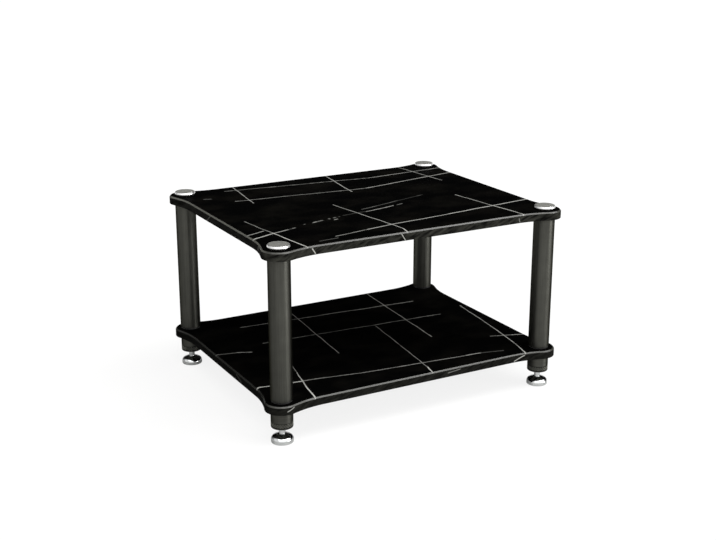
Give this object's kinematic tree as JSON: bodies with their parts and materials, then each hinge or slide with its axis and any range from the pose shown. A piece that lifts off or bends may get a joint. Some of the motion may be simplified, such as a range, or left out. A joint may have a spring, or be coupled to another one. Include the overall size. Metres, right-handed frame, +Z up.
{
  "type": "equipment rack",
  "caption": "Low open rack for audio equipment: waisted satin black boards on round metal posts, with turned caps, collars and screw levelling feet.",
  "frame": {"origin": "on the floor, under the middle of the boards, with the feet at their drawn height", "axes": "+X along the front to the right as one faces the rack, +Y to the back, +Z up"},
  "size_m": [0.644, 0.516, 0.3786],
  "materials": {
    "board": "fibreboard with a black marble surface under clear satin lacquer",
    "post": "satin anodised, charcoal grey",
    "plug": "turned, left plain",
    "cap": "brushed top face with a polished rim",
    "stud": "bright zinc plated thread",
    "foot": "polished chrome plate",
    "gasket": "matt black"
  },
  "bodies": {
    "rack": {"top_shelf": "board", "bottom_shelf": "board", "post_front_left": "post", "post_front_right": "post", "post_back_left": "post", "post_back_right": "post", "upper_plug_front_left": "plug", "upper_plug_front_right": "plug", "upper_plug_back_left": "plug", "upper_plug_back_right": "plug", "lower_plug_front_left": "plug", "lower_plug_front_right": "plug", "lower_plug_back_left": "plug", "lower_plug_back_right": "plug", "cap_front_left": "cap", "cap_front_right": "cap", "cap_back_left": "cap", "cap_back_right": "cap", "cap_stud_front_left": "stud", "cap_stud_front_right": "stud", "cap_stud_back_left": "stud", "cap_stud_back_right": "stud", "joining_stud_front_left": "stud", "joining_stud_front_right": "stud", "joining_stud_back_left": "stud", "joining_stud_back_right": "stud", "collar_front_left": "post", "collar_front_right": "post", "collar_back_left": "post", "collar_back_right": "post", "top_washer_front_left": "gasket", "top_washer_front_right": "gasket", "top_washer_back_left": "gasket", "top_washer_back_right": "gasket", "base_ring_front_left": "gasket", "base_ring_front_right": "gasket", "base_ring_back_left": "gasket", "base_ring_back_right": "gasket", "collar_washer_front_left": "gasket", "collar_washer_front_right": "gasket", "collar_washer_back_left": "gasket", "collar_washer_back_right": "gasket"},
    "pad_front_left": {"foot_pad_front_left": "gasket"},
    "pad_front_right": {"foot_pad_front_right": "gasket"},
    "pad_back_left": {"foot_pad_back_left": "gasket"},
    "pad_back_right": {"foot_pad_back_right": "gasket"},
    "foot_front_left": {"foot_disc_front_left": "foot", "foot_stud_front_left": "foot"},
    "foot_front_right": {"foot_disc_front_right": "foot", "foot_stud_front_right": "foot"},
    "foot_back_left": {"foot_disc_back_left": "foot", "foot_stud_back_left": "foot"},
    "foot_back_right": {"foot_disc_back_right": "foot", "foot_stud_back_right": "foot"}
  },
  "joints": [
    {"name": "foot_rise_front_left", "type": "slide", "parent": "rack", "child": "pad_front_left", "axis": [0, 0, 1], "range_m": [-0.00525, 0.00525]},
    {"name": "foot_rise_front_right", "type": "slide", "parent": "rack", "child": "pad_front_right", "axis": [0, 0, 1], "range_m": [-0.00525, 0.00525]},
    {"name": "foot_rise_back_left", "type": "slide", "parent": "rack", "child": "pad_back_left", "axis": [0, 0, 1], "range_m": [-0.00525, 0.00525]},
    {"name": "foot_rise_back_right", "type": "slide", "parent": "rack", "child": "pad_back_right", "axis": [0, 0, 1], "range_m": [-0.00525, 0.00525]},
    {"name": "foot_turn_front_left", "type": "hinge", "parent": "pad_front_left", "child": "foot_front_left", "pos_m": [-0.29, -0.226, 0], "axis": [0, 0, 1], "range_deg": [-1080, 1080]},
    {"name": "foot_turn_front_right", "type": "hinge", "parent": "pad_front_right", "child": "foot_front_right", "pos_m": [0.29, -0.226, 0], "axis": [0, 0, 1], "range_deg": [-1080, 1080]},
    {"name": "foot_turn_back_left", "type": "hinge", "parent": "pad_back_left", "child": "foot_back_left", "pos_m": [-0.29, 0.226, 0], "axis": [0, 0, 1], "range_deg": [-1080, 1080]},
    {"name": "foot_turn_back_right", "type": "hinge", "parent": "pad_back_right", "child": "foot_back_right", "pos_m": [0.29, 0.226, 0], "axis": [0, 0, 1], "range_deg": [-1080, 1080]}
  ],
  "couplings": [
    {"joint": "foot_rise_front_left", "follows": "foot_turn_front_left", "m_per_rad": 0.0002785},
    {"joint": "foot_rise_front_right", "follows": "foot_turn_front_right", "m_per_rad": 0.0002785},
    {"joint": "foot_rise_back_left", "follows": "foot_turn_back_left", "m_per_rad": 0.0002785},
    {"joint": "foot_rise_back_right", "follows": "foot_turn_back_right", "m_per_rad": 0.0002785}
  ]
}
